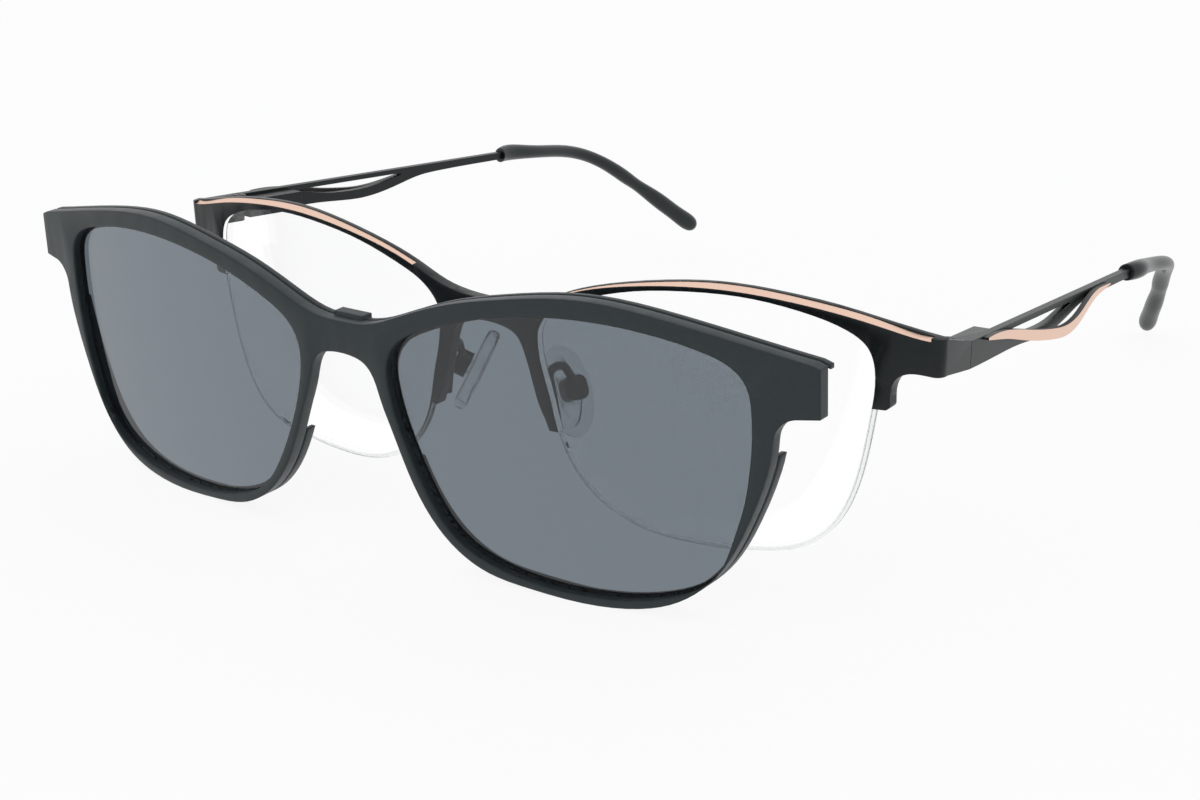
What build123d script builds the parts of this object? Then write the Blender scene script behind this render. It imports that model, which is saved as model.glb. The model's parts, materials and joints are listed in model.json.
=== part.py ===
"""Half-rimless metal spectacles with a magnetic sun lens clip standing in front of them.

X runs along the width, Y from the front to the temple tips and Z upwards. The pieces are drawn
round the middle of the spectacles' front and moved at the end, so that the origin lies under
the middle of the whole set. The right side is drawn and the left side is its mirror image.
"""
from build123d import *
import math
import os

# Overall sizes of the front and the clip, in millimetres
wrap_radius = 262.0
lens_width = 49.3
lens_height = 36.0
lens_nasal_gap = 8.7
end_reach = 8.4
bar_rise = 1.3
front_half_width = lens_nasal_gap + lens_width + end_reach
front_height = lens_height + bar_rise
front_overlap = 0.8
front_depth = 1.8
clip_half_width = 69.8
clip_height = 42.1
clip_depth = 2.4

# Heights above the floor of the lens bottom, and how the clip stands beside its seat
lens_floor_gap = 3.0
clip_aside = 10.25
clip_ahead = 19.15
seat_gap = 0.25

# Clear lenses and the nylon cord that holds them
lens_thickness = 1.5
lens_setback = 0.15
lens_clearance = 0.03
cord_diameter = 0.6
cord_clearance = 0.02

# Front bar: end piece, lug, strut and the trim along its upper edge
end_height = 4.9
lug_height = 25.9
lug_width = 1.9
strut_height = 15.45
strut_rounding = 0.7
end_rounding = 1.6
trim_inset = 1.4
trim_depth = 1.0
trim_height = 0.65
trim_sink = 0.08
trim_clearance = 0.02
trim_end_rise = 0.25

# Clip: rims, lenses, rear lips, boss and magnets
sun_width_share = 0.768
sun_height_share = 0.914
sun_nasal_share = 0.1117
sun_bottom_share = 0.0238
sun_thickness = 0.75
sun_clearance = 0.03
ledge_width = 0.5
ledge_depth = 0.35
rim_rounding = 0.6
lip_height = 0.6
lip_depth = 0.8
skirt_width = 0.7
skirt_depth = 1.5
skirt_gap = 0.3
skirt_temporal_height = 23.9
boss_width = 5.2
boss_height = 0.8
boss_depth = 1.5
boss_rise = 0.5
magnet_radius = 1.5
magnet_thickness = 1.0
magnet_inset = 5.6
magnet_drop = 3.8
magnet_clearance = 0.02

# Nose pads and their arms
pad_length = 13.3
pad_width = 7.3
pad_thickness = 2.0
pad_rounding = 0.7
pad_splay = 28.0
pad_flare = 25.0
pad_lean = 13.0
pad_place_x = 8.4
pad_place_y = 7.4
pad_place_z = 18.8
pad_gap = 0.3
shoe_length = 4.2
shoe_width = 3.0
shoe_thickness = 0.5
post_length = 1.9
post_width = 1.4
box_length = 3.5
box_width = 3.4
box_rounding = 1.1
box_depth = 2.2
box_cheek = 0.9
pad_screw_radius = 0.45
pad_screw_head = 0.75
pad_screw_head_depth = 0.3
arm_radius = 0.6
arm_bend = 1.4
arm_rise = 5.0

# Hinge, measured from its screw in the temple's own directions
hinge_inset = 3.15
hinge_y = 16.0
hinge_drop_right = 4.5
hinge_drop_left = 2.6
temple_tilt_right = 7.3
temple_tilt_left = 6.2
temple_toe = 4.4
flex_travel = 1.5
wall_outside = 2.7
wall_thickness = 1.4
wall_ahead = 6.6
butt_place = 1.3
butt_gap = 0.1
knuckle_radius = 1.25
knuckle_height = 3.6
knuckle_ahead = 5.0
eye_thickness = 1.3
eye_clearance = 0.05
screw_radius = 0.5
screw_head_radius = 0.95
screw_head_height = 0.35
slot_width = 0.3
slot_depth = 0.2
pin_clearance = 0.05
housing_length = 10.4
housing_height = 2.8
housing_inside = 1.4
housing_gap = 0.35
housing_front_wall = 1.3
housing_rear_wall = 0.6
chamber_radius = 1.0
rod_radius = 0.5
rod_length = 9.0
collar_radius = 0.9
collar_length = 1.0
spring_radius = 0.9
spring_wall = 0.3
spring_gap = 0.1

# Temple blade, wave trim and tip
blade_thickness = 1.2
blade_height = 3.7
blade_length = 62.0
rod_tail = 9.0
rod_tail_height = 1.1
rod_tail_thickness = 1.0
slit_front_share = 0.206
slit_length_share = 0.378
slit_end_height = 0.3
wave_start = 5.2
wave_end_gap = 11.2
wave_height = 2.8
wave_thickness = 0.8
wave_bow = 1.4
tip_reach = 45.3
tip_drop = 17.6
tip_inward = 10.3
tip_width = 2.7
tip_height = 2.9
tip_bore_clearance = 0.03

# A named overrun for cuts and blanks
overrun = 2.0
blank_depth = 24.0

# Outlines as shares of the sizes above, each point as (across, up)
brow_top_shares = [
    (0.0, 0.803), (0.06, 0.808), (0.13, 0.832), (0.203, 0.883), (0.286, 0.929), (0.369, 0.961),
    (0.467, 0.988), (0.557, 1.0), (0.678, 0.99), (0.795, 0.962), (0.878, 0.93), (1.0, 0.883),
]
bridge_shares = [
    (0.0, 0.7225), (0.343, 0.7145), (0.595, 0.688), (0.733, 0.629), (0.832, 0.555),
    (0.931, 0.465), (1.084, 0.38),
]
lug_shares = [(1.0, 1.0), (0.54, 1.03), (0.29, 1.01), (0.11, 0.86), (0.02, 0.6), (0.0, 0.35)]
lens_shares = [
    (0.0, 0.72), (0.008, 0.61), (0.032, 0.49), (0.06, 0.335), (0.108, 0.205), (0.191, 0.094),
    (0.314, 0.021), (0.45, 0.0), (0.585, 0.003), (0.702, 0.02), (0.807, 0.065), (0.88, 0.15),
    (0.93, 0.27), (0.963, 0.42), (0.99, 0.62), (1.0, 0.765), (0.98, 0.865), (0.919, 0.925),
    (0.817, 0.968), (0.651, 1.0), (0.479, 0.995), (0.32, 0.967), (0.144, 0.9), (0.04, 0.825),
]
trim_height_shares = [0.25, 0.3, 0.5, 0.8, 1.0, 0.95, 0.9, 0.8, 0.7]
clip_top_shares = [
    (0.0, 0.8), (0.06, 0.805), (0.143, 0.849), (0.246, 0.913), (0.381, 0.966), (0.55, 1.0),
    (0.714, 0.973), (0.89, 0.914), (0.984, 0.88),
]
clip_end_shares = [(1.0, 0.868), (1.0, 0.715)]
clip_low_shares = [
    (0.957, 0.708), (0.933, 0.689), (0.92, 0.66), (0.914, 0.603), (0.901, 0.499), (0.864, 0.333),
    (0.814, 0.181), (0.729, 0.059), (0.629, 0.0095), (0.529, 0.0), (0.421, 0.012), (0.318, 0.0415),
    (0.232, 0.128), (0.1505, 0.328), (0.1165, 0.4655), (0.0945, 0.557), (0.081, 0.6245),
    (0.061, 0.669), (0.03, 0.6885), (0.0, 0.6925),
]
sun_shares = [
    (0.9885, 0.511), (0.998, 0.638), (0.998, 0.753), (0.987, 0.84), (0.954, 0.899),
    (0.889, 0.9415), (0.796, 0.973), (0.605, 1.0), (0.439, 0.989), (0.271, 0.947),
    (0.103, 0.864), (0.038, 0.8085), (0.004, 0.729), (0.004, 0.625), (0.048, 0.423),
    (0.1145, 0.239), (0.16, 0.152), (0.2176, 0.088), (0.284, 0.048), (0.443, 0.005),
    (0.5305, 0.0), (0.6985, 0.0186), (0.775, 0.045), (0.8435, 0.085), (0.893, 0.138),
    (0.9256, 0.205), (0.9485, 0.29), (0.971, 0.391),
]
blade_low_shares = [
    (0.0, -0.5), (0.17, -0.465), (0.28, -0.465), (0.365, -0.545), (0.43, -0.575), (0.5, -0.475),
    (0.574, -0.245), (0.655, 0.03), (0.735, 0.12), (0.865, 0.16), (1.0, 0.18),
]
slit_low_shares = [(0.14, 0.05), (0.25, -0.07), (0.42, -0.15), (0.58, -0.16), (0.73, -0.09), (0.86, 0.05)]
slit_top_share = 0.285
wave_centre_shares = [
    (0.0, 0.11), (0.081, 0.025), (0.166, -0.155), (0.236, -0.37), (0.315, -0.62), (0.432, -0.885),
    (0.538, -1.0), (0.655, -0.8), (0.762, -0.42), (0.857, -0.12), (0.953, 0.025), (1.0, 0.08),
]
wave_width_shares = [0.12, 0.34, 0.45, 0.52, 0.54, 0.54, 0.54, 0.52, 0.48, 0.39, 0.21, 0.08]
wave_bow_shares = [
    (0.0, 0.0), (0.14, 0.0), (0.32, 0.45), (0.5, 1.0), (0.64, 0.9), (0.8, 0.3), (0.9, 0.0), (1.0, 0.0),
]
tip_path_shares = [
    (0.0, 0.0, 0.0), (0.22, 0.023, 0.0), (0.33, 0.048, 0.0), (0.453, 0.099, 0.039), (0.585, 0.233, 0.223),
    (0.695, 0.42, 0.417), (0.795, 0.602, 0.592), (0.887, 0.784, 0.777), (0.962, 0.93, 0.925),
    (0.989, 0.98, 0.978), (1.0, 1.0, 1.0),
]
tip_section_shares = [
    (0.95, 0.88), (0.95, 0.8), (0.95, 0.78), (0.95, 0.78), (0.95, 0.8), (1.0, 0.84), (1.0, 0.92),
    (1.05, 1.02), (1.1, 1.1), (0.85, 0.88), (0.45, 0.48),
]


def scaled(shares, width, height, x_start=0.0, z_start=0.0):
    """Turn (across, up) shares into points."""
    return [(x_start + across * width, z_start + up * height) for across, up in shares]


def both_sides(points):
    """Mirror points that start on the middle line, and join the two halves left to right."""
    left = [(-x, z) for x, z in reversed(points) if x > 0]
    return left + points


def closed_outline(points):
    """One smooth closed face through the points."""
    return make_face(Spline(*points, periodic=True))


def moved_out(points, amount, closed=True):
    """The points of an outline, each moved square to it: outwards if it runs anticlockwise."""
    curve = Spline(*points, periodic=closed)
    moved = []
    for x, z in points:
        direction = curve.tangent_at(curve.param_at_point((x, z)))
        moved.append((x + amount * direction.Y, z - amount * direction.X))
    return moved


def upright_block(face):
    """A front-view face made into a block that runs from front to back."""
    return extrude(Plane.XZ * face, amount=blank_depth, both=True)


def curved_sheet(setback, depth):
    """A sheet with the curve of the front: setback behind its face, and depth thick."""
    outside = Cylinder(wrap_radius - setback, 4 * front_height)
    inside = Cylinder(wrap_radius - setback - depth, 4 * front_height)
    return Pos(0, wrap_radius, 0) * (outside - inside)


def wrapped(face, setback, depth):
    """A front-view face cut from a sheet that follows the curve of the front."""
    return upright_block(face) & curved_sheet(setback, depth)


def front_y(x, setback=0.0):
    """How far back the curved front lies at a place across it."""
    radius = wrap_radius - setback
    return wrap_radius - math.sqrt(radius**2 - x**2)


def reach_below(across, nasal_height, temporal_height):
    """The area below a nasal height on one side of a place and a temporal height on the other."""
    corners = [(0.0, nasal_height), (across, nasal_height), (across, temporal_height)]
    corners.append((clip_half_width, temporal_height))
    area = make_face(Polyline((clip_half_width, -overrun), (0.0, -overrun), *corners, close=True))
    return area + mirror(area, about=Plane.YZ)


def sideways(face, thickness, x_low):
    """A face drawn along the temple (back, up) given its thickness across the temple."""
    return Pos(x_low, 0, 0) * extrude(Plane.YZ * face, amount=thickness)


# Front bar in one piece
lens_points = scaled(lens_shares, lens_width, lens_height, lens_nasal_gap, lens_floor_gap)
lens_outline = closed_outline(lens_points)
lens_outlines = lens_outline + mirror(lens_outline, about=Plane.YZ)

brow_top = scaled(brow_top_shares, front_half_width, front_height, 0.0, lens_floor_gap)
bridge_low = scaled(bridge_shares, lens_nasal_gap, front_height, 0.0, lens_floor_gap)
end_corner = brow_top[-1]
end_low = end_corner[1] - end_height
lug_outside = lens_nasal_gap + lens_width + lug_width
end_span = front_half_width + front_overlap - lug_outside
lug_side = scaled(lug_shares, end_span, end_low - lug_height, lug_outside, lug_height)


def front_view():
    """Front view of the brow bars, bridge, nasal struts, lugs and the fronts of the end pieces."""
    middle_of_lens = lens_nasal_gap + lens_width / 2
    outline = [Spline(*both_sides(brow_top))]
    for side in (1, -1):
        corner = (side * end_corner[0], end_corner[1])
        over_corner = (side * (end_corner[0] + front_overlap), end_corner[1])
        lug_curve = [(side * x, z) for x, z in lug_side]
        lug_bend = (side * lug_outside, lug_height + strut_rounding)
        lug_foot = (side * (lug_outside - strut_rounding), lug_height)
        lug_inside = (side * (lug_outside - 2 * lug_width), lug_height)
        belly = (side * middle_of_lens, lens_floor_gap + lens_height / 2)
        strut_inside = (side * (bridge_low[-1][0] + 2 * lug_width), strut_height)
        strut_foot = (side * (bridge_low[-1][0] + strut_rounding), strut_height)
        strut_side = (side * bridge_low[-1][0], bridge_low[-1][1])
        outline += [Polyline(corner, over_corner, lug_curve[0]), Spline(*lug_curve)]
        outline += [Line(lug_curve[-1], lug_bend), RadiusArc(lug_bend, lug_foot, side * strut_rounding)]
        outline += [Polyline(lug_foot, lug_inside, belly, strut_inside, strut_foot, strut_side)]
    outline.append(Spline(*both_sides(bridge_low)))
    return make_face(outline) - lens_outlines


# The trim starts at a point beside the bridge and ends before the rounded corner
trim_end = front_half_width - trim_inset
trim_tops = brow_top[3:-1] + [(trim_end, end_corner[1] + trim_end_rise)]


def along_trim(corners):
    """A loft along the upper edge of the bar, through sections whose corners are (back, up)."""
    sections = []
    for (x, top), share in zip(trim_tops, trim_height_shares):
        points = [(x, y, z) for y, z in corners(front_y(x), top - share * trim_height, top)]
        sections.append(make_face(Polyline(*points, close=True)))
    return loft(sections)


def seat_corners(front, low, top):
    """The corner of the bar that is cut away for the trim."""
    ahead = front - overrun
    back = front + trim_depth
    above = top + overrun
    return [(ahead, low), (back, low), (back, above), (ahead, above)]


def trim_corners(front, low, top):
    """The trim: a slope from the face of the bar to just below its top."""
    back = front + trim_depth - trim_clearance
    bottom = low + trim_clearance
    return [(front, bottom), (back, bottom), (back, top - trim_sink)]


front_outline = front_view()
brow_seat = along_trim(seat_corners)
brow_trim = along_trim(trim_corners)

# Temple directions: along it, out from the head and up
toe = math.radians(temple_toe)
outward = Vector(math.cos(toe), math.sin(toe), 0)
hinge_x = front_half_width - hinge_inset
wall_inside = wall_outside - wall_thickness
blade_top = blade_height / 2


def hinge_plane(tilt_degrees, drop):
    """The plane of a hinge on the right side: across, along the temple, and up its screw."""
    tilt = math.radians(tilt_degrees)
    along = Vector(-math.sin(toe) * math.cos(tilt), math.cos(toe) * math.cos(tilt), -math.sin(tilt))
    return Plane(origin=(hinge_x, hinge_y, end_corner[1] - drop), x_dir=outward, z_dir=outward.cross(along))


# The frame has been bent to sit level on its wearer, so the two temples differ a little
right_hinge = hinge_plane(temple_tilt_right, hinge_drop_right)
left_hinge = hinge_plane(temple_tilt_left, hinge_drop_left)


def on_each_side(right_solid, left_solid):
    """The solid for the right side, joined with the mirror image of the one for the left."""
    return right_solid + mirror(left_solid, about=Plane.YZ)


def make_end_wall(hinge):
    """The side of the end piece, from the back of the bar to the temple."""
    front = Vector(hinge_x, hinge_y - wall_ahead, end_low)
    low_front = hinge.to_local_coords(front).Z
    top_front = hinge.to_local_coords(front + Vector(0, 0, end_height - trim_sink)).Z
    joint_edge = [(butt_place, -blade_top), (butt_place, blade_top)]
    side_view = Polyline((-wall_ahead, low_front), *joint_edge, (-wall_ahead, top_front), close=True)
    wall = sideways(make_face(side_view), wall_thickness, wall_inside)
    return hinge.location * wall


def make_beside(hinge):
    """The space beyond the outer side of the end piece, cut away from the bar."""
    side = 4 * end_height
    return hinge.location * Pos(wall_outside + side / 2, -side / 2, 0) * Box(side, side, side)


def is_end_corner(edge):
    """Whether an edge is the upright front corner of an end piece."""
    middle = edge.center()
    return edge.length > end_height / 2 and abs(middle.X) > trim_end and middle.Y < hinge_y - wall_ahead


bar = wrapped(front_outline, 0.0, front_depth)
bar = bar + on_each_side(make_end_wall(right_hinge), make_end_wall(left_hinge))
bar = bar - on_each_side(make_beside(right_hinge), make_beside(left_hinge))
bar = bar - on_each_side(brow_seat, brow_seat)
frame_front = fillet(bar.edges().filter_by(is_end_corner), end_rounding)

# Clear lenses with a groove, and the cord in it
groove_setback = lens_setback + (lens_thickness - cord_diameter) / 2


def cord_band(clearance):
    """The band in which the cord runs along the edge of the lens."""
    half = cord_diameter / 2 + clearance
    ring = closed_outline(moved_out(lens_points, half)) - closed_outline(moved_out(lens_points, -half))
    middle_of_lens = lens_nasal_gap + lens_width / 2
    reach = reach_below(middle_of_lens, strut_height - cord_clearance, lug_height - cord_clearance)
    return wrapped(ring & reach, groove_setback - clearance, cord_diameter + 2 * clearance)


nylon_cord = cord_band(0.0)
lens_face = closed_outline(moved_out(lens_points, -lens_clearance))
lens_blank = wrapped(lens_face, lens_setback, lens_thickness)
demo_lens = lens_blank - cord_band(cord_clearance)

# Clip frame, drawn round the same middle line and standing on the floor
clip_top = scaled(clip_top_shares, clip_half_width, clip_height)
clip_end = scaled(clip_end_shares, clip_half_width, clip_height)
clip_low = scaled(clip_low_shares, clip_half_width, clip_height)
sun_width = sun_width_share * clip_half_width
sun_nasal_gap = sun_nasal_share * clip_half_width
sun_setback = clip_depth - ledge_depth - sun_thickness
sun_points = scaled(
    sun_shares, sun_width, sun_height_share * clip_height, sun_nasal_gap, sun_bottom_share * clip_height
)
sun_outline = closed_outline(sun_points)
sun_outlines = sun_outline + mirror(sun_outline, about=Plane.YZ)


def clip_face(inset=0.0):
    """Front view of the clip with no openings, its lower edge moved in by the inset."""
    low = moved_out(both_sides(clip_low[::-1]), -inset, closed=False)
    edges = [Spline(*both_sides(clip_top)), Spline(*low)]
    for side, end in ((1, low[-1]), (-1, low[0])):
        points = [(side * x, z) for x, z in [clip_top[-1], *clip_end]]
        edges.append(Polyline(*points, end))
    return make_face(edges)


def make_clip():
    """Rims, bridge and end pieces, with a lip along the top and a skirt round the lower rims."""
    face = clip_face()
    rim = wrapped(face - sun_outlines, 0.0, clip_depth)
    front = rim.faces().filter_by(GeomType.CYLINDER).sort_by(SortBy.AREA)[-1]
    rim = fillet(front.outer_wire().edges(), rim_rounding)
    inside = closed_outline(moved_out(sun_points, -ledge_width))
    ledge = sun_outlines - inside - mirror(inside, about=Plane.YZ)
    rim = rim + wrapped(ledge, clip_depth - ledge_depth, ledge_depth)
    lip = face - Pos(0, -lip_height, 0) * face
    rim = rim + wrapped(lip, clip_depth, lip_depth)
    middle_of_rim = sun_nasal_gap + sun_width / 2
    reach = reach_below(middle_of_rim, strut_height - skirt_gap, skirt_temporal_height)
    skirt = (face - clip_face(skirt_width)) & reach
    rim = rim + wrapped(skirt, clip_depth, skirt_depth)
    boss_top = clip_top[0][1] + boss_rise
    boss = Pos(0, boss_top - boss_height / 2) * Rectangle(boss_width, boss_height)
    rim = rim + wrapped(boss, clip_depth - ledge_depth, boss_depth + ledge_depth)
    return rim - magnet_pair(magnet_clearance)


def magnet_pair(clearance):
    """Both magnets, square to the curved rear face of the end pieces."""
    turn = math.degrees(math.asin((clip_half_width - magnet_inset) / wrap_radius))
    depth = magnet_thickness + clearance
    disc = Rot(90, 0, 0) * Cylinder(magnet_radius + clearance, depth)
    back = -(wrap_radius - clip_depth) - depth / 2
    height = clip_top[-1][1] - magnet_drop
    placed = Pos(0, wrap_radius, height) * Rot(0, 0, turn) * Pos(0, back, 0) * disc
    return placed + mirror(placed, about=Plane.YZ)


clip_stand = Pos(-clip_aside, -clip_ahead, 0)
clip_frame = clip_stand * make_clip()
clip_magnets = clip_stand * magnet_pair(0.0)
sun_right = wrapped(closed_outline(moved_out(sun_points, -sun_clearance)), sun_setback, sun_thickness)
sun_left = mirror(sun_right, about=Plane.YZ)

# Nose pad directions: along its width, its length and out from the nose
splay = math.radians(pad_splay)
pad_across = Vector(math.sin(splay), math.cos(splay), 0)
pad_up = Vector(-math.tan(math.radians(pad_flare)), math.tan(math.radians(pad_lean)), 1).normalized()
pad_plane = Plane(
    origin=(pad_place_x, pad_place_y, pad_place_z), x_dir=pad_across, z_dir=pad_across.cross(pad_up)
)
pad = pad_plane.location


def make_pad():
    """The soft oval pad with the pocket for its shoe."""
    oval = extrude(Ellipse(pad_width / 2, pad_length / 2), amount=pad_thickness / 2, both=True)
    oval = fillet(oval.edges().filter_by(GeomType.ELLIPSE), pad_rounding)
    pocket = Pos(0, 0, pad_thickness / 2 - shoe_thickness / 2) * Box(shoe_width, shoe_length, shoe_thickness)
    return oval - pocket


post_reach = pad_gap + box_depth - box_cheek
screw_depth = pad_thickness / 2 + pad_gap + (box_depth - box_cheek) / 2


def make_shoe():
    """The shoe set into the pad, with its post and the hole for the screw."""
    plate = Pos(0, 0, pad_thickness / 2 - shoe_thickness / 2) * Box(shoe_width, shoe_length, shoe_thickness)
    post = Pos(0, 0, pad_thickness / 2 + post_reach / 2 - pad_gap / 2) * Box(
        post_width, post_length, post_reach - pad_gap
    )
    hole = Pos(0, 0, screw_depth) * Rot(0, 90, 0) * Cylinder(pad_screw_radius + pin_clearance, shoe_width)
    return plate + post - hole


def make_box():
    """The pad box on the end of the arm: two cheeks and a back."""
    body = Pos(0, 0, pad_thickness / 2 + pad_gap + box_depth / 2) * Box(box_width, box_length, box_depth)
    body = fillet(body.edges().filter_by(Axis.Z), box_rounding)
    slot_depth_inside = box_depth - box_cheek / 2
    slot = Pos(0, 0, pad_thickness / 2 + pad_gap + slot_depth_inside / 2) * Box(
        post_width + 2 * pin_clearance, box_length, slot_depth_inside
    )
    bore = Pos(0, 0, screw_depth) * Rot(0, 90, 0) * Cylinder(pad_screw_radius, 2 * box_width)
    return body - slot - bore


def make_pad_screw():
    """The cross screw on which the pad rocks."""
    shank = Cylinder(pad_screw_radius, box_width)
    head = Pos(0, 0, (box_width + pad_screw_head_depth) / 2) * Cylinder(pad_screw_head, pad_screw_head_depth)
    return Pos(0, 0, screw_depth) * Rot(0, 90, 0) * (shank + head)


def make_arm():
    """The wire that rises behind the strut, turns over and comes down to the box."""
    back_of_box = pad_thickness / 2 + pad_gap + box_depth
    box_top = (pad * Pos(0, box_length / 2 - arm_radius, back_of_box - arm_radius)).position
    foot_x = bridge_low[-1][0] + arm_radius
    foot = Vector(foot_x, front_y(foot_x) + front_depth + arm_radius, strut_height + 2 * arm_radius)
    loop_top = pad_place_z + arm_rise
    rise = Vector(foot.X - 2 * arm_radius, foot.Y, loop_top)
    over = Vector(box_top.X - arm_radius, (foot.Y + box_top.Y) / 2 + arm_radius, loop_top)
    path = FilletPolyline(foot, rise, over, box_top, radius=arm_bend)
    start = Plane(origin=foot, z_dir=rise - foot)
    return sweep(start * Circle(arm_radius), path=path)


pad_body = pad * make_pad()
pad_shoe = pad * make_shoe()
pad_box = pad * make_box()
pad_screw = pad * make_pad_screw()
pad_arm = make_arm() - pad_box + pad_box


# Hinge pieces in the temple's own directions
def make_knuckles():
    """The fork brazed inside the end piece, with the slot for the slider's eye."""
    half = knuckle_height / 2
    barrel = Cylinder(knuckle_radius, knuckle_height)
    base_width = wall_inside + knuckle_radius
    base_place = Pos(wall_inside - base_width / 2, -knuckle_ahead / 2, 0)
    base = base_place * Box(base_width, knuckle_ahead, knuckle_height)
    web_length = butt_place
    web = Pos(wall_inside / 2, web_length / 2, 0) * Box(wall_inside, web_length, knuckle_height)
    slot_height = eye_thickness + 2 * eye_clearance
    reach = knuckle_radius + housing_gap
    slot = Pos(0, 0, 0) * Box(4 * knuckle_radius, 2 * reach, slot_height)
    bore = Cylinder(screw_radius, 2 * half)
    return barrel + base + web - slot - bore


def make_hinge_screw():
    """The hinge screw with a slotted head on top."""
    shank = Cylinder(screw_radius, knuckle_height)
    head_place = Pos(0, 0, (knuckle_height + screw_head_height) / 2)
    head = head_place * Cylinder(screw_head_radius, screw_head_height)
    top = (knuckle_height / 2) + screw_head_height - slot_depth / 2
    slot = Pos(0, 0, top) * Box(2 * screw_head_radius, slot_width, slot_depth)
    return shank + head - slot


def make_slider():
    """The eye and rod that the temple pulls against its spring."""
    eye = Cylinder(knuckle_radius, eye_thickness)
    rod = Pos(0, rod_length / 2, 0) * Rot(90, 0, 0) * Cylinder(rod_radius, rod_length)
    collar_middle = rod_length - collar_length / 2
    collar = Pos(0, collar_middle, 0) * Rot(90, 0, 0) * Cylinder(collar_radius, collar_length)
    return eye + rod + collar - Cylinder(screw_radius + pin_clearance, knuckle_height)


housing_start = knuckle_radius + housing_gap
blade_inside = wall_outside - blade_thickness


def make_housing():
    """The closed box on the inside of the temple, with the chamber for rod and spring."""
    width = housing_inside + blade_inside
    middle = Pos((blade_inside - housing_inside) / 2, housing_start + housing_length / 2, 0)
    body = middle * Box(width, housing_length, housing_height)
    chamber_length = housing_length - housing_front_wall - housing_rear_wall
    chamber_middle = housing_start + housing_front_wall + chamber_length / 2
    chamber = Pos(0, chamber_middle, 0) * Rot(90, 0, 0) * Cylinder(chamber_radius, chamber_length)
    way_length = 2 * (housing_front_wall + overrun)
    way = Pos(0, housing_start, 0) * Rot(90, 0, 0) * Cylinder(rod_radius + pin_clearance, way_length)
    return body - chamber - way


def make_spring():
    """The closed envelope of the small coil spring, drawn as short as it gets."""
    start = housing_start + housing_front_wall
    end = rod_length - collar_length - flex_travel - spring_gap
    length = end - start
    tube = Cylinder(spring_radius, length) - Cylinder(spring_radius - spring_wall, length)
    return Pos(0, start + length / 2, 0) * Rot(90, 0, 0) * tube


blade_start = butt_place + butt_gap
wave_length = blade_start + blade_length - wave_end_gap - wave_start


def along_blade(share, up_share):
    """A point of the blade in side view, from shares of its length and height."""
    return (blade_start + share * blade_length, up_share * blade_height)


def make_blade():
    """The temple: a blade with a long open slit that narrows to a rod inside the tip."""
    low = [along_blade(share, up) for share, up in blade_low_shares]
    front_top = (blade_start, blade_top)
    back_top = (blade_start + blade_length, blade_top)
    outline = [Line(front_top, back_top), Line(back_top, low[-1]), Spline(*low), Line(low[0], front_top)]
    face = make_face(outline)
    slit_top = slit_top_share * blade_height
    slit_front = blade_start + slit_front_share * blade_length
    slit_length = slit_length_share * blade_length
    slit_end = slit_front + slit_length
    slit_low = [(slit_front + share * slit_length, up * blade_height) for share, up in slit_low_shares]
    slit_sharp = slit_top - slit_end_height
    slit_curve = Spline((slit_front, slit_sharp), *slit_low, (slit_end, slit_sharp))
    slit_corners = [(slit_end, slit_sharp), (slit_end, slit_top), (slit_front, slit_top)]
    slit_upper = Polyline(*slit_corners, (slit_front, slit_sharp))
    slit = make_face([slit_curve, slit_upper])
    blade = sideways(face - slit, blade_thickness, blade_inside)
    tail_middle = (blade_top + low[-1][1]) / 2
    tail = Pos(blade_inside + blade_thickness / 2, back_top[0] + rod_tail / 2, tail_middle) * Box(
        rod_tail_thickness, rod_tail, rod_tail_height
    )
    return blade + tail, tail_middle


blade, tail_height = make_blade()


def make_wave():
    """The raised trim that leaves the blade, bows out and sweeps below it in one wave."""
    centre = [
        (wave_start + share * wave_length, tail_height + up * wave_height) for share, up in wave_centre_shares
    ]
    upper = []
    lower = []
    for (y, z), share in zip(centre, wave_width_shares):
        upper.append((y, z + share * wave_height / 2))
        lower.append((y, z - share * wave_height / 2))
    side_edges = [Spline(*upper), Spline(*lower), Line(upper[0], lower[0]), Line(upper[-1], lower[-1])]
    side_view = Pos(wall_outside, 0, 0) * extrude(
        Plane.YZ * make_face(side_edges), amount=2 * (wave_bow + wave_thickness)
    )
    inner = []
    for share, out in wave_bow_shares:
        inner.append((wall_outside + out * wave_bow, wave_start + share * wave_length))
    outer = [(x + wave_thickness, y) for x, y in inner]
    plan_edges = [Polyline(*inner[:2]), Spline(*inner[1:-1]), Polyline(*inner[-2:])]
    plan_edges += [Polyline(*outer[:2]), Spline(*outer[1:-1]), Polyline(*outer[-2:])]
    plan_edges += [Line(inner[0], outer[0]), Line(inner[-1], outer[-1])]
    plan_view = extrude(make_face(plan_edges), amount=4 * wave_height, both=True)
    return side_view & plan_view


def make_tip():
    """The moulded tip: oval sections along a path that bends down and in behind the ear."""
    start_x = wall_outside - blade_thickness / 2
    start_y = blade_start + blade_length
    points = []
    for back, down, inward in tip_path_shares:
        x = start_x - inward * tip_inward
        points.append(Vector(x, start_y + back * tip_reach, tail_height - down * tip_drop))
    path = Spline(*points)
    sections = []
    for point, (wide, high) in zip(points, tip_section_shares):
        position = path.param_at_point(point)
        direction = path.tangent_at(position)
        plane = Plane(origin=point, x_dir=Vector(direction.Y, -direction.X, 0), z_dir=direction)
        sections.append(plane * Ellipse(wide * tip_width / 2, high * tip_height / 2))
    body = loft(sections)
    bore_length = rod_tail + tip_bore_clearance
    bore = Pos(start_x, start_y + bore_length / 2, tail_height) * Box(
        rod_tail_thickness + 2 * tip_bore_clearance, bore_length, rod_tail_height + 2 * tip_bore_clearance
    )
    return body - bore


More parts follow.
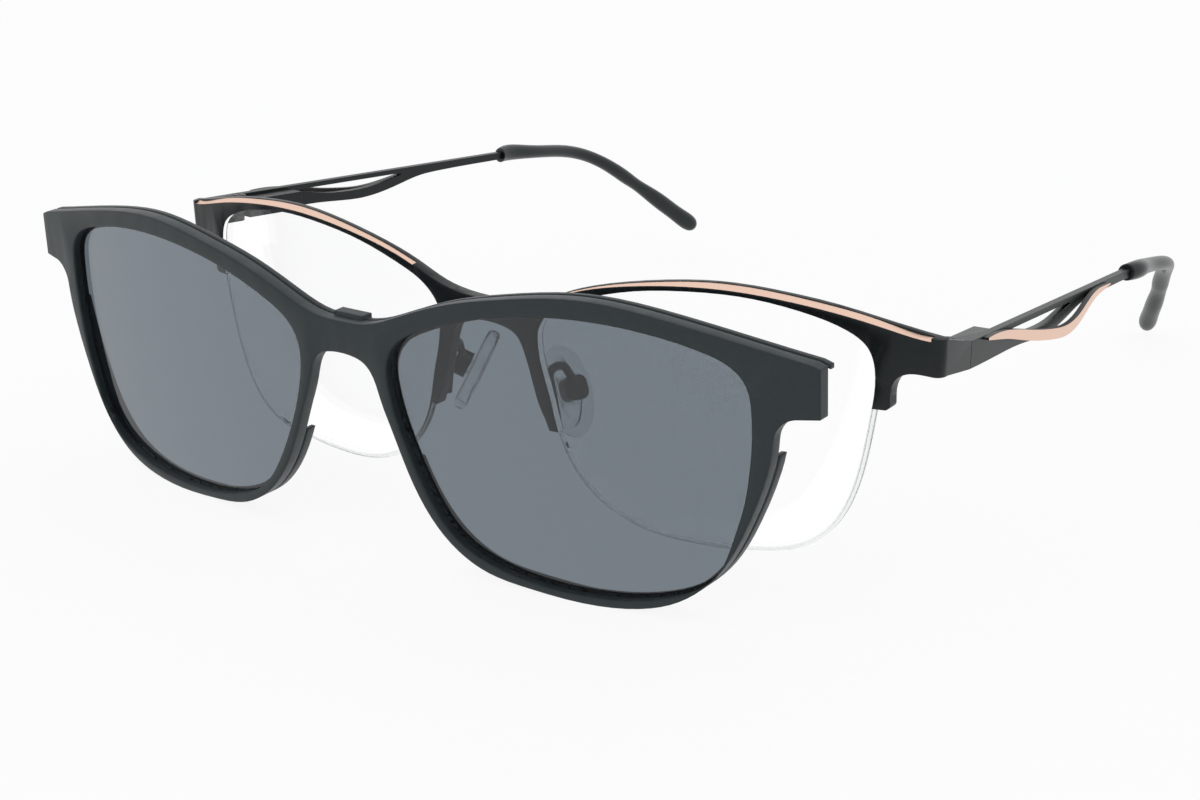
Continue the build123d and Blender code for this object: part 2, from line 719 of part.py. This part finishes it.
# Every node by its name: hinge pieces are placed at their own side's hinge
hinge_parts = {
    "hinge_knuckles": make_knuckles(),
    "hinge_screw": make_hinge_screw(),
    "hinge_slider": make_slider(),
    "hinge_housing": make_housing(),
    "hinge_spring": make_spring(),
    "temple_blade": blade,
    "temple_wave": make_wave(),
    "temple_tip": make_tip(),
}
mirrored_parts = {
    "nose_pad": pad_body,
    "pad_shoe": pad_shoe,
    "pad_arm": pad_arm,
    "pad_screw": pad_screw,
    "demo_lens": demo_lens,
    "nylon_cord": nylon_cord,
    "brow_trim": brow_trim,
}

nodes = {"frame_front": frame_front, "clip_frame": clip_frame, "clip_magnets": clip_magnets}
nodes["sun_lens_right"] = clip_stand * sun_right
nodes["sun_lens_left"] = clip_stand * sun_left
for name, solid in hinge_parts.items():
    nodes[name + "_right"] = right_hinge.location * solid
    nodes[name + "_left"] = mirror(left_hinge.location * solid, about=Plane.YZ)
for name, solid in mirrored_parts.items():
    nodes[name + "_right"] = solid
    nodes[name + "_left"] = mirror(solid, about=Plane.YZ)

# The whole set is moved so that the origin lies under its middle, on the floor
box = Compound(children=[Compound(list(solid.solids())) for solid in nodes.values()]).bounding_box()
stand = Pos(-box.center().X, -box.center().Y, -box.min.Z)
os.makedirs("parts", exist_ok=True)
for name, solid in nodes.items():
    export_step(stand * solid, "parts/" + name + ".step")

print("moved by", tuple(stand.position))
print("size", box.size)
for side, plane in (("right", right_hinge), ("left, before it is mirrored", left_hinge)):
    print("hinge", side, tuple(plane.origin), "axis", tuple(plane.z_dir), "along", tuple(plane.y_dir))
print("pad screw point", tuple((pad * Pos(0, 0, screw_depth)).position), "axis", tuple(pad_across))
print("clip slide", clip_aside, clip_ahead - clip_depth - seat_gap)
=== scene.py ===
# %% [markdown]
# Half-rimless glasses with a magnetic sun lens clip. The metal glasses stand open on a white
# table, and the clip that belongs on them stands in front. The pieces come from the packed
# model, which is loaded first and never moved. Blender adds what the solids don't have: the
# finish of each surface, a small round on the larger edges, and silicone in place of plain pads.

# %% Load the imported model
import json
import math

import bpy
from mathutils import Matrix, Vector


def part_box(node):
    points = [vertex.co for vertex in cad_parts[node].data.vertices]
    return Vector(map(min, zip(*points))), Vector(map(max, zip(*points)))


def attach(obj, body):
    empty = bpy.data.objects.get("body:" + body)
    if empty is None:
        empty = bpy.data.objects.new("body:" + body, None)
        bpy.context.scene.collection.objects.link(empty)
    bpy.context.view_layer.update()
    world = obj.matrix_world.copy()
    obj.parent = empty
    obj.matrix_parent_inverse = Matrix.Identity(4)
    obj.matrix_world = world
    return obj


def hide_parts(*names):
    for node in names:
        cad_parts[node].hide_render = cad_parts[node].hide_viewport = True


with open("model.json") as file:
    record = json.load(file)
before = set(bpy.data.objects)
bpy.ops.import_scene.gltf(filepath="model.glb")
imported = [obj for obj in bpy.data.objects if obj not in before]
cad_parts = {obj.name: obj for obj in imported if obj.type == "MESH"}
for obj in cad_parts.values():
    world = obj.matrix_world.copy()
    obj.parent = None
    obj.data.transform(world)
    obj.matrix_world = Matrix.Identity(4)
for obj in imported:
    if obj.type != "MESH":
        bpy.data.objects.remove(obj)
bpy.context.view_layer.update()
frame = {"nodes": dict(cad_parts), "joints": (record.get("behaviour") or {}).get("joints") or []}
nodes = frame["nodes"]
mm = 0.001

# %% [markdown]
# The camera stands to the right of the glasses, above them, and leans a little to one side. Its
# place is measured from the point on the table below the middle of the metal front. Its turn is
# three angles: yaw about the upright, pitch down, and roll about its own view. It is only a third
# of a metre away, so the far ends of the temples are drawn clearly smaller than the clip.

# %% The camera
front_low, front_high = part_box("frame_front")
below_front = Vector(((front_low.x + front_high.x) / 2, front_low.y, 0))
from_front = Vector((190.83, -230.26, 130.69)) * mm
camera_place = below_front + from_front
camera_yaw = math.radians(36.72)
camera_pitch = math.radians(20.77)
camera_roll = math.radians(-2.12)
camera_lens = 67.73
sensor_width = 36.0
nearest_seen = 10 * mm

bpy.ops.object.camera_add(location=camera_place)
camera = bpy.context.object
camera.name = "photographers_camera"
camera.data.lens = camera_lens
camera.data.sensor_width = sensor_width
camera.data.clip_start = nearest_seen
turn = Matrix.Rotation(camera_yaw, 3, "Z")
turn = turn @ Matrix.Rotation(math.radians(90) - camera_pitch, 3, "X")
turn = turn @ Matrix.Rotation(camera_roll, 3, "Z")
camera.rotation_euler = turn.to_euler()
bpy.context.scene.camera = camera
bpy.context.scene.view_settings.view_transform = "Standard"
print("the camera stands", round(from_front.length, 3), "m from the front")

# %% [markdown]
# A material is a small tree of nodes that ends in one shader. The shader could be filled in by
# hand in the Shading workspace. Here two short helpers do it, so that each finish below is a few
# lines: one makes the empty tree with its shader, and one adds a node with its values.

# %% Helpers for node materials
def new_material(name):
    """A material with an empty node tree, its output and a Principled shader."""
    material = bpy.data.materials.new(name)
    material.use_nodes = True
    tree = material.node_tree
    tree.nodes.clear()
    output = tree.nodes.new("ShaderNodeOutputMaterial")
    shader = tree.nodes.new("ShaderNodeBsdfPrincipled")
    tree.links.new(shader.outputs["BSDF"], output.inputs["Surface"])
    return material, tree, shader


def add_node(tree, kind, settings=None, **inputs):
    """A node of a kind, with its settings, and with values for inputs given by their names."""
    node = tree.nodes.new(kind)
    for name, value in (settings or {}).items():
        setattr(node, name, value)
    for name, value in inputs.items():
        node.inputs[name.replace("_", " ")].default_value = value
    return node


# %% [markdown]
# The set was photographed on plain white, with light from all round it. More lamps would whiten
# the room too, but they would also wash out the colours of the object. So the room is mixed with
# plain white only for the rays that show it to the eye: straight, in a mirror, or through glass.
# The light that falls on the object stays at a plain level.

# %% White for the eye, whatever the light
def white_to_the_eye(tree, shader, share):
    """Mix a shader with plain white: all white in mirrors and glass, a share for the camera."""
    path = tree.nodes.new("ShaderNodeLightPath")
    white = tree.nodes.new("ShaderNodeEmission")
    direct = add_node(tree, "ShaderNodeMath", {"operation": "MULTIPLY"})
    tree.links.new(path.outputs["Is Camera Ray"], direct.inputs[0])
    direct.inputs[1].default_value = share
    amount = direct
    for ray in ("Is Glossy Ray", "Is Transmission Ray"):
        wider = add_node(tree, "ShaderNodeMath", {"operation": "MAXIMUM"})
        tree.links.new(amount.outputs[0], wider.inputs[0])
        tree.links.new(path.outputs[ray], wider.inputs[1])
        amount = wider
    mix = tree.nodes.new("ShaderNodeMixShader")
    tree.links.new(amount.outputs[0], mix.inputs["Fac"])
    tree.links.new(shader.outputs[0], mix.inputs[1])
    tree.links.new(white.outputs["Emission"], mix.inputs[2])
    return mix


# %% [markdown]
# The table is a plane so wide that its edge stays out of the picture. The camera sees it nine
# tenths white, and the last tenth is its own shading, which keeps a faint shadow under the
# glasses. The world has no shadow to keep, so it is all white to the eye.

# %% The table and the world
table_width = 6.0
table_white_share = 0.9
table_gray = (0.86, 0.86, 0.86, 1)
room_gray = (0.55, 0.56, 0.57, 1)
bpy.ops.mesh.primitive_plane_add(size=table_width, location=(0, 0, 0))
table = bpy.context.object
table.name = "white_table"
table_paint, tree, shader = new_material("white table")
shader.inputs["Base Color"].default_value = table_gray
shader.inputs["Roughness"].default_value = 0.7
shader.inputs["Specular IOR Level"].default_value = 0.2
mix = white_to_the_eye(tree, shader, share=table_white_share)
tree.links.new(mix.outputs["Shader"], tree.nodes["Material Output"].inputs["Surface"])
table.data.materials.append(table_paint)

world = bpy.data.worlds.new("white studio")
bpy.context.scene.world = world
world.use_nodes = True
tree = world.node_tree
background = tree.nodes["Background"]
background.inputs["Color"].default_value = room_gray
mix = white_to_the_eye(tree, background, share=1.0)
tree.links.new(mix.outputs["Shader"], tree.nodes["World Output"].inputs["Surface"])
print("the table is", table_width, "m wide")

# %% [markdown]
# Two large soft boxes add light from above and from the front left. A large lamp gives a soft
# shadow, as an overcast sky does. Its reflection would overexpose the thin gold strips, so the
# boxes are hidden in mirrors and in glass, and what metal mirrors is the white room.

# %% The soft boxes
def soft_box(name, place, aim, width, height, watts):
    """A large area lamp at a place, turned to its aim."""
    bpy.ops.object.light_add(type="AREA", location=place)
    lamp = bpy.context.object
    lamp.name = name
    lamp.data.shape = "RECTANGLE"
    lamp.data.size = width
    lamp.data.size_y = height
    lamp.data.energy = watts
    lamp.visible_glossy = False
    lamp.visible_transmission = False
    lamp.rotation_euler = (Vector(aim) - Vector(place)).to_track_quat("-Z", "Y").to_euler()


soft_box("top_box", place=(0.1, 0.25, 1.0), aim=(0, 0, 0), width=3.0, height=3.0, watts=10.0)
soft_box("side_box", place=(-1.0, -0.6, 0.8), aim=(0, 0, 0.02), width=1.6, height=1.4, watts=3.0)

# %% [markdown]
# Real surfaces are never quite even, so the finishes share a few effects. Each effect is a node
# group, made once and dropped into every material that needs it, as a shared node group would be
# in the Shading workspace. They all read Object coordinates, which are metres on these pieces.

# %% Helpers for shared effects
def new_group(name, inputs, outputs):
    """A node group with number or colour sockets, and its two end nodes."""
    group = bpy.data.node_groups.new(name, "ShaderNodeTree")
    for way, sockets in (("INPUT", inputs), ("OUTPUT", outputs)):
        for socket, kind in sockets:
            group.interface.new_socket(name=socket, in_out=way, socket_type="NodeSocket" + kind)
    return group, group.nodes.new("NodeGroupInput"), group.nodes.new("NodeGroupOutput")


def use_group(tree, group, **values):
    """A shared effect in a material, with its values."""
    node = tree.nodes.new("ShaderNodeGroup")
    node.node_tree = group
    for name, value in values.items():
        node.inputs[name.replace("_", " ")].default_value = value
    return node


def noise_of(group, source, scale_socket, detail):
    """Noise in Object coordinates, at a scale that comes from the group's input."""
    place = group.nodes.new("ShaderNodeTexCoord")
    noise = add_node(group, "ShaderNodeTexNoise", Detail=detail)
    group.links.new(place.outputs["Object"], noise.inputs["Vector"])
    group.links.new(source.outputs[scale_socket], noise.inputs["Scale"])
    return noise


# %% [markdown]
# Grain is what spark-eroded moulds leave on plastic and what spraying leaves on lacquer: bumps a
# quarter of a millimetre wide and less than a hundredth high. One noise gives the height. It also
# moves the roughness a little to either side of its value, so that the shine is never quite even.

# %% Grain
grain, source, result = new_group(
    "fine grain",
    [("Scale", "Float"), ("Roughness", "Float"), ("Spread", "Float")],
    [("Height", "Float"), ("Roughness", "Float")],
)
noise_middle = 0.5
noise = noise_of(grain, source, "Scale", detail=3.0)
centred = add_node(grain, "ShaderNodeMath", {"operation": "SUBTRACT"})
grain.links.new(noise.outputs["Fac"], centred.inputs[0])
centred.inputs[1].default_value = noise_middle
spread = add_node(grain, "ShaderNodeMath", {"operation": "MULTIPLY_ADD"})
grain.links.new(centred.outputs[0], spread.inputs[0])
grain.links.new(source.outputs["Spread"], spread.inputs[1])
grain.links.new(source.outputs["Roughness"], spread.inputs[2])
grain.links.new(noise.outputs["Fac"], result.inputs["Height"])
grain.links.new(spread.outputs[0], result.inputs["Roughness"])
print("group:", grain.name)

# %% [markdown]
# A little dust settles on whatever looks up. A noise with specks of about a millimetre says where
# it lies, and the upward part of the normal says how much of it stays, down to a small share on
# undersides. Their product mixes a dust colour into the colour below. The normal is the piece's
# own, so when a temple folds, its dust goes with it.

# %% Settled dust
dust, source, result = new_group(
    "settled dust",
    [("Color", "Color"), ("Dust Color", "Color"), ("Amount", "Float"), ("Scale", "Float")],
    [("Color", "Color")],
)
bare_below, full_above = 0.45, 0.8
underside_below = -0.6
underside_share = 0.15
noise = noise_of(dust, source, "Scale", detail=5.0)
specks = add_node(dust, "ShaderNodeMapRange")
specks.inputs["From Min"].default_value = bare_below
specks.inputs["From Max"].default_value = full_above
dust.links.new(noise.outputs["Fac"], specks.inputs["Value"])
place = dust.nodes.new("ShaderNodeTexCoord")
parts = dust.nodes.new("ShaderNodeSeparateXYZ")
dust.links.new(place.outputs["Normal"], parts.inputs["Vector"])
upward = add_node(dust, "ShaderNodeMapRange")
upward.inputs["From Min"].default_value = underside_below
upward.inputs["From Max"].default_value = 1.0
upward.inputs["To Min"].default_value = underside_share
dust.links.new(parts.outputs["Z"], upward.inputs["Value"])
lying = add_node(dust, "ShaderNodeMath", {"operation": "MULTIPLY"})
dust.links.new(specks.outputs["Result"], lying.inputs[0])
dust.links.new(upward.outputs["Result"], lying.inputs[1])
share = add_node(dust, "ShaderNodeMath", {"operation": "MULTIPLY"})
dust.links.new(lying.outputs[0], share.inputs[0])
dust.links.new(source.outputs["Amount"], share.inputs[1])
blend = add_node(dust, "ShaderNodeMix", {"data_type": "RGBA"})
dust.links.new(share.outputs[0], blend.inputs["Factor"])
dust.links.new(source.outputs["Color"], blend.inputs["A"])
dust.links.new(source.outputs["Dust Color"], blend.inputs["B"])
dust.links.new(blend.outputs["Result"], result.inputs["Color"])
print("group:", dust.name)

# %% [markdown]
# Brushed metal has hair lines along the way the wheel ran. A noise whose scale is far lower along
# one axis than across it looks just like that, both in the height and in the roughness.

# %% Brushed lines
brushed, source, result = new_group(
    "brushed lines",
    [("Along", "Vector"), ("Roughness", "Float"), ("Spread", "Float")],
    [("Height", "Float"), ("Roughness", "Float")],
)
place = brushed.nodes.new("ShaderNodeTexCoord")
stretch = brushed.nodes.new("ShaderNodeMapping")
brushed.links.new(place.outputs["Object"], stretch.inputs["Vector"])
brushed.links.new(source.outputs["Along"], stretch.inputs["Scale"])
noise = add_node(brushed, "ShaderNodeTexNoise", Scale=1.0, Detail=2.0)
brushed.links.new(stretch.outputs["Vector"], noise.inputs["Vector"])
spread = add_node(brushed, "ShaderNodeMath", {"operation": "MULTIPLY_ADD"})
brushed.links.new(noise.outputs["Fac"], spread.inputs[0])
brushed.links.new(source.outputs["Spread"], spread.inputs[1])
brushed.links.new(source.outputs["Roughness"], spread.inputs[2])
brushed.links.new(noise.outputs["Fac"], result.inputs["Height"])
brushed.links.new(spread.outputs[0], result.inputs["Roughness"])
print("group:", brushed.name)

# %% [markdown]
# No made edge is truly sharp: lacquer and moulding both round it. The Bevel node bends the shading
# over each edge by a radius, and a bump of the grain lies on top of that. The mesh stays as it is,
# which is enough for small pieces. The larger ones get a real round further down.

# %% Soft edges with grain on them
edge_samples = 6


def soft_edges(tree, shader, radius, height, depth):
    """Round the shading over the edges, and add a bump from a height output."""
    bevel = add_node(tree, "ShaderNodeBevel", {"samples": edge_samples}, Radius=radius)
    bump = add_node(tree, "ShaderNodeBump", Strength=1.0, Distance=depth)
    tree.links.new(height, bump.inputs["Height"])
    tree.links.new(bevel.outputs["Normal"], bump.inputs["Normal"])
    tree.links.new(bump.outputs["Normal"], shader.inputs["Normal"])


# %% [markdown]
# Lacquer and plastic are made alike: a colour with dust on it, grain, soft edges and a mirror
# level. The helper takes these values and hands back the finished material.

# %% Lacquers and plastics
cool_tint = (0.86, 0.96, 1.0, 1)


def covered(name, color, dust_color, dust_amount, mirror, roughness, spread, scale, edge, depth):
    """A lacquer or plastic: colour with dust, grain, soft edges and a cool mirror."""
    material, tree, shader = new_material(name)
    tint = use_group(
        tree, dust, Color=color, Dust_Color=dust_color, Amount=dust_amount, Scale=900.0
    )
    tree.links.new(tint.outputs["Color"], shader.inputs["Base Color"])
    skin = use_group(tree, grain, Scale=scale, Roughness=roughness, Spread=spread)
    tree.links.new(skin.outputs["Roughness"], shader.inputs["Roughness"])
    soft_edges(tree, shader, edge, skin.outputs["Height"], depth)
    shader.inputs["Specular IOR Level"].default_value = mirror
    shader.inputs["Specular Tint"].default_value = cool_tint
    return material


# %% [markdown]
# The metal front and temples are sprayed with satin black lacquer. In the photo it is nearly
# black where it faces the camera, and only its upper edges catch the light. A dark colour with
# a low specular level does that; with the usual level, the white room makes it a shade greyer.

# %% Satin black lacquer
lacquer = covered(
    "satin black lacquer", color=(0.0045, 0.0056, 0.006, 1),
    dust_color=(0.1, 0.105, 0.105, 1), dust_amount=0.05, mirror=0.31,
    roughness=0.36, spread=0.12, scale=5000.0, edge=0.18 * mm, depth=0.004 * mm,
)
print("material:", lacquer.name)

# %% [markdown]
# The clip is moulded from matte dark grey plastic with a fine eroded grain, a shade lighter and
# cooler than the lacquer. It stands nearest to the camera, so it has the deepest grain of all.

# %% Grained grey plastic
clip_plastic = covered(
    "grained grey plastic", color=(0.014, 0.0195, 0.021, 1),
    dust_color=(0.14, 0.15, 0.15, 1), dust_amount=0.06, mirror=0.42,
    roughness=0.44, spread=0.16, scale=4200.0, edge=0.6 * mm, depth=0.009 * mm,
)
print("material:", clip_plastic.name)

# %% [markdown]
# The tips are moulded in glossy black plastic, smoother than the clip and with almost no grain. A
# faint coat over the plastic mirrors the white room a little more sharply than the plastic does.

# %% Glossy black plastic
tip_plastic = covered(
    "glossy black plastic", color=(0.005, 0.0062, 0.0066, 1),
    dust_color=(0.1, 0.1, 0.1, 1), dust_amount=0.02, mirror=0.4,
    roughness=0.3, spread=0.05, scale=3500.0, edge=0.3 * mm, depth=0.0006 * mm,
)
shader = tip_plastic.node_tree.nodes["Principled BSDF"]
shader.inputs["Coat Weight"].default_value = 0.12
shader.inputs["Coat Roughness"].default_value = 0.2
print("material:", tip_plastic.name)

# %% [markdown]
# The nose pad wires, the screws and the hinge sliders are steel that has been darkened to go with
# the frame. It has no lacquer on it, so it gets hair lines instead of grain. The springs and the
# magnets are hidden in other pieces, and get a bright steel.

# %% Darkened and bright steel
metal_dust = (0.7, 0.7, 0.68, 1)


def brushed_metal(name, color, along, roughness, spread, edge, depth):
    """A metal with hair lines along one axis and soft edges."""
    material, tree, shader = new_material(name)
    tint = use_group(tree, dust, Color=color, Dust_Color=metal_dust, Amount=0.08, Scale=1400.0)
    tree.links.new(tint.outputs["Color"], shader.inputs["Base Color"])
    lines = use_group(tree, brushed, Along=along, Roughness=roughness, Spread=spread)
    tree.links.new(lines.outputs["Roughness"], shader.inputs["Roughness"])
    soft_edges(tree, shader, edge, lines.outputs["Height"], depth)
    shader.inputs["Metallic"].default_value = 1.0
    return material


dark_steel = brushed_metal(
    "darkened steel", color=(0.045, 0.045, 0.047, 1), along=(9000.0, 9000.0, 300.0),
    roughness=0.3, spread=0.15, edge=0.1 * mm, depth=0.003 * mm,
)
bright_steel = brushed_metal(
    "bright steel", color=(0.6, 0.6, 0.6, 1), along=(9000.0, 300.0, 9000.0),
    roughness=0.2, spread=0.15, edge=0.1 * mm, depth=0.002 * mm,
)
print("materials:", dark_steel.name, "and", bright_steel.name)

# %% [markdown]
# The strips on the brow and the waves on the temples are rose gold, a pale pinkish metal. The wave
# is gold only on its outer face and black on its edges and its back, so its colour and its metal
# follow the piece's own normal: gold where the face looks away from the head. The normal stays
# with the piece, so a folded temple keeps its gold on the same face.

# %% Rose gold
rose = (0.86, 0.62, 0.505, 1)
edge_black = (0.006, 0.0063, 0.0066, 1)
face_turn = 0.6
rose_gold = brushed_metal(
    "rose gold", color=rose, along=(60.0, 9000.0, 9000.0),
    roughness=0.42, spread=0.15, edge=0.08 * mm, depth=0.002 * mm,
)
wave_gold = brushed_metal(
    "rose gold with black edges", color=rose, along=(9000.0, 60.0, 9000.0),
    roughness=0.38, spread=0.15, edge=0.05 * mm, depth=0.002 * mm,
)
tree = wave_gold.node_tree
shader = tree.nodes["Principled BSDF"]
place = tree.nodes.new("ShaderNodeTexCoord")
parts = tree.nodes.new("ShaderNodeSeparateXYZ")
tree.links.new(place.outputs["Normal"], parts.inputs["Vector"])
sideways = add_node(tree, "ShaderNodeMath", {"operation": "ABSOLUTE"})
tree.links.new(parts.outputs["X"], sideways.inputs[0])
from_middle = tree.nodes.new("ShaderNodeSeparateXYZ")
tree.links.new(place.outputs["Object"], from_middle.inputs["Vector"])
outwards = add_node(tree, "ShaderNodeMath", {"operation": "MULTIPLY"})
tree.links.new(parts.outputs["X"], outwards.inputs[0])
tree.links.new(from_middle.outputs["X"], outwards.inputs[1])
looks_out = add_node(tree, "ShaderNodeMath", {"operation": "GREATER_THAN"})
tree.links.new(outwards.outputs[0], looks_out.inputs[0])
looks_out.inputs[1].default_value = 0.0
is_face = add_node(tree, "ShaderNodeMath", {"operation": "GREATER_THAN"})
tree.links.new(sideways.outputs[0], is_face.inputs[0])
is_face.inputs[1].default_value = face_turn
gilded = add_node(tree, "ShaderNodeMath", {"operation": "MULTIPLY"})
tree.links.new(looks_out.outputs[0], gilded.inputs[0])
tree.links.new(is_face.outputs[0], gilded.inputs[1])
paint = add_node(tree, "ShaderNodeMix", {"data_type": "RGBA"})
paint.inputs["A"].default_value = edge_black
gold_color = shader.inputs["Base Color"].links[0].from_socket
tree.links.new(gold_color, paint.inputs["B"])
tree.links.new(gilded.outputs[0], paint.inputs["Factor"])
tree.links.new(paint.outputs["Result"], shader.inputs["Base Color"])
tree.links.new(gilded.outputs[0], shader.inputs["Metallic"])
print("materials:", rose_gold.name, "and", wave_gold.name)

# %% [markdown]
# Both lenses are see-through, with air on either side. The demo lens is plain, so on white it
# shows only by its edges. The sun lens is tinted in the mass, and its colour is the share of the
# light that comes through one face. The demo lens has a lower index than real plastic, which
# keeps its mirror image and its bending weak. A polished lens is exactly sharp, so its roughness
# is zero. Grease from fingers lies on top, as a faint coat whose weight follows a slow noise.

# %% Clear and tinted lenses
def lens_material(name, color, ior):
    """A polished lens with faint smears on it."""
    material, tree, shader = new_material(name)
    shader.inputs["Base Color"].default_value = color
    shader.inputs["Roughness"].default_value = 0.0
    shader.inputs["Transmission Weight"].default_value = 1.0
    shader.inputs["IOR"].default_value = ior
    shader.inputs["Coat Roughness"].default_value = 0.3
    smears = use_group(tree, grain, Scale=70.0, Roughness=0.03, Spread=0.06)
    tree.links.new(smears.outputs["Roughness"], shader.inputs["Coat Weight"])
    return material


clear_lens = lens_material("clear demo lens", (1.0, 1.0, 1.0, 1), ior=1.28)
sun_lens = lens_material("grey sun lens", (0.148, 0.176, 0.204, 1), ior=1.5)
print("materials:", clear_lens.name, "and", sun_lens.name)

# %% [markdown]
# The cord under each demo lens is clear nylon, and the pads are silicone with a hard clear shoe.
# All three are moulded or drawn, not polished, so their surface is a little dull, and a noise
# varies how dull. The silicone lets a little less light through, which makes it faintly milky.

# %% Nylon, hard plastic and silicone
def frosted_material(name, color, ior, roughness, transmission):
    """A clear moulded plastic whose surface is a little dull and uneven."""
    material, tree, shader = new_material(name)
    shader.inputs["Base Color"].default_value = color
    shader.inputs["Transmission Weight"].default_value = transmission
    shader.inputs["IOR"].default_value = ior
    skin = use_group(tree, grain, Scale=900.0, Roughness=roughness, Spread=roughness)
    tree.links.new(skin.outputs["Roughness"], shader.inputs["Roughness"])
    return material


nylon = frosted_material(
    "clear nylon", (0.9, 0.92, 0.92, 1), ior=1.5, roughness=0.18, transmission=1.0
)
hard_clear = frosted_material(
    "clear hard plastic", (0.9, 0.91, 0.9, 1), ior=1.5, roughness=0.1, transmission=1.0
)
silicone = frosted_material(
    "clear silicone", (0.96, 0.975, 0.98, 1), ior=1.41, roughness=0.09, transmission=0.94
)
print("materials:", ", ".join(clear.name for clear in (nylon, hard_clear, silicone)))

# %% [markdown]
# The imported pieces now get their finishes. A name without its side stands for both sides.

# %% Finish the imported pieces
def give(material, *names):
    """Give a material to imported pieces, to both sides where a name has two."""
    for name in names:
        for node in (name, name + "_left", name + "_right"):
            if node in nodes:
                nodes[node].data.materials.clear()
                nodes[node].data.materials.append(material)


give(lacquer, "frame_front", "temple_blade", "hinge_housing", "hinge_knuckles")
give(clip_plastic, "clip_frame")
give(rose_gold, "brow_trim")
give(wave_gold, "temple_wave")
give(dark_steel, "pad_arm", "pad_screw", "hinge_screw", "hinge_slider")
give(bright_steel, "hinge_spring", "clip_magnets")
give(tip_plastic, "temple_tip")
give(hard_clear, "pad_shoe")
give(clear_lens, "demo_lens")
give(sun_lens, "sun_lens")
give(nylon, "nylon_cord")
print("finished", sum(bool(node.data.materials) for node in nodes.values()), "packed pieces")

# %% [markdown]
# On the larger pieces the round on an edge is wide enough to show as a thin light line, and to
# soften the outline, which shading alone can't do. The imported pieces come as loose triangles, so
# a Weld modifier joins them first. Then a Bevel modifier rounds each edge that turns sharply.

# %% Round the edges of the larger pieces
merge_distance = 0.001 * mm
sharp_angle = math.radians(40)


def round_edges(width, segments, *names):
    """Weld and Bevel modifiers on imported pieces, on both sides where a name has two."""
    for name in names:
        for node in (name, name + "_left", name + "_right"):
            if node in nodes:
                weld = nodes[node].modifiers.new("join the triangles", "WELD")
                weld.merge_threshold = merge_distance
                bevel = nodes[node].modifiers.new("round the edges", "BEVEL")
                bevel.width = width
                bevel.segments = segments
                bevel.limit_method = "ANGLE"
                bevel.angle_limit = sharp_angle
                bevel.harden_normals = True


moulded_round = 0.3 * mm
lacquered_round = 0.15 * mm
round_edges(moulded_round, 3, "clip_frame")
round_edges(lacquered_round, 2, "frame_front", "temple_blade", "hinge_housing")
print("rounded", sum(bool(node.modifiers) for node in nodes.values()), "packed pieces")

# %% [markdown]
# The nose pads are soft silicone. Each packed one is a plain oval solid, and the new pad takes its
# place and its three sizes from that solid. The directions come from the joint on which the pad
# rocks: the joint's axis runs across the pad, and its screw lies straight behind the middle.

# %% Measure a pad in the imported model
def pad_directions(side):
    """The middle of a pad, and a matrix with its width, its length and its way to the screw."""
    low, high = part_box("nose_pad_" + side)
    middle = (low + high) / 2
    joint = next(j for j in frame["joints"] if j["name"] == "pad_rock_" + side)
    across = Vector(joint["axis"]).normalized()
    behind = (Vector(joint["pos_m"]) - middle).normalized()
    along = behind.cross(across).normalized()
    turn = Matrix((across, along, behind)).transposed().to_4x4()
    return Matrix.Translation(middle) @ turn


def extent(node, place, axis):
    """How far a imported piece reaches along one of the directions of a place."""
    back = place.inverted()
    values = [(back @ vertex.co)[axis] for vertex in node.data.vertices]
    return max(values) - min(values)


# %% [markdown]
# A real pad is an oval cushion with a round edge all about, a shallow step on the side of the
# nose, and a pocket at the back for the clear shoe. A cylinder is stretched to the oval, and a
# bevel rounds its two rims. Then the two flat faces are inset twice: the first inset leaves the
# rim, and the second sinks the middle.

# %% Model a pad
pad_sides = 72
pad_rim_steps = 6
pad_roundness = 0.45
pad_rim_width = 0.7 * mm
pad_step_depth = 0.25 * mm
pad_smooth_angle = math.radians(35)


def select_caps(thing):
    """Select the two largest faces of a thing that is in edit mode."""
    bpy.ops.mesh.select_mode(type="FACE")
    bpy.ops.mesh.select_all(action="DESELECT")
    bpy.ops.object.mode_set(mode="OBJECT")
    for face in sorted(thing.data.polygons, key=lambda face: face.area)[-2:]:
        face.select = True
    bpy.ops.object.mode_set(mode="EDIT")


def make_pad(side):
    """An oval cushion with a step in front and a pocket behind, in the place of a packed pad."""
    node = nodes["nose_pad_" + side]
    place = pad_directions(side)
    width, length, thickness = [extent(node, place, axis) for axis in (0, 1, 2)]
    bpy.ops.object.select_all(action="DESELECT")
    bpy.ops.mesh.primitive_cylinder_add(vertices=pad_sides, radius=0.5, depth=1.0)
    pad = bpy.context.object
    pad.name = "soft_pad_" + side
    pad.scale = (width, length, thickness)
    bpy.ops.object.transform_apply(location=False, rotation=False, scale=True)
    bpy.ops.object.mode_set(mode="EDIT")
    select_caps(pad)
    bpy.ops.mesh.bevel(
        offset=thickness * pad_roundness, segments=pad_rim_steps, profile=0.5
    )
    select_caps(pad)
    bpy.ops.mesh.inset(thickness=pad_rim_width)
    bpy.ops.mesh.inset(thickness=pad_step_depth, depth=-pad_step_depth)
    bpy.ops.object.mode_set(mode="OBJECT")
    pad.data.transform(place)
    bpy.ops.object.shade_smooth_by_angle(angle=pad_smooth_angle)
    pad.data.materials.append(silicone)
    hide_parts("nose_pad_" + side)
    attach(pad, "pad_" + side)
    print(pad.name, [round(size / mm, 2) for size in (width, length, thickness)], "mm")


for side in ("left", "right"):
    make_pad(side)
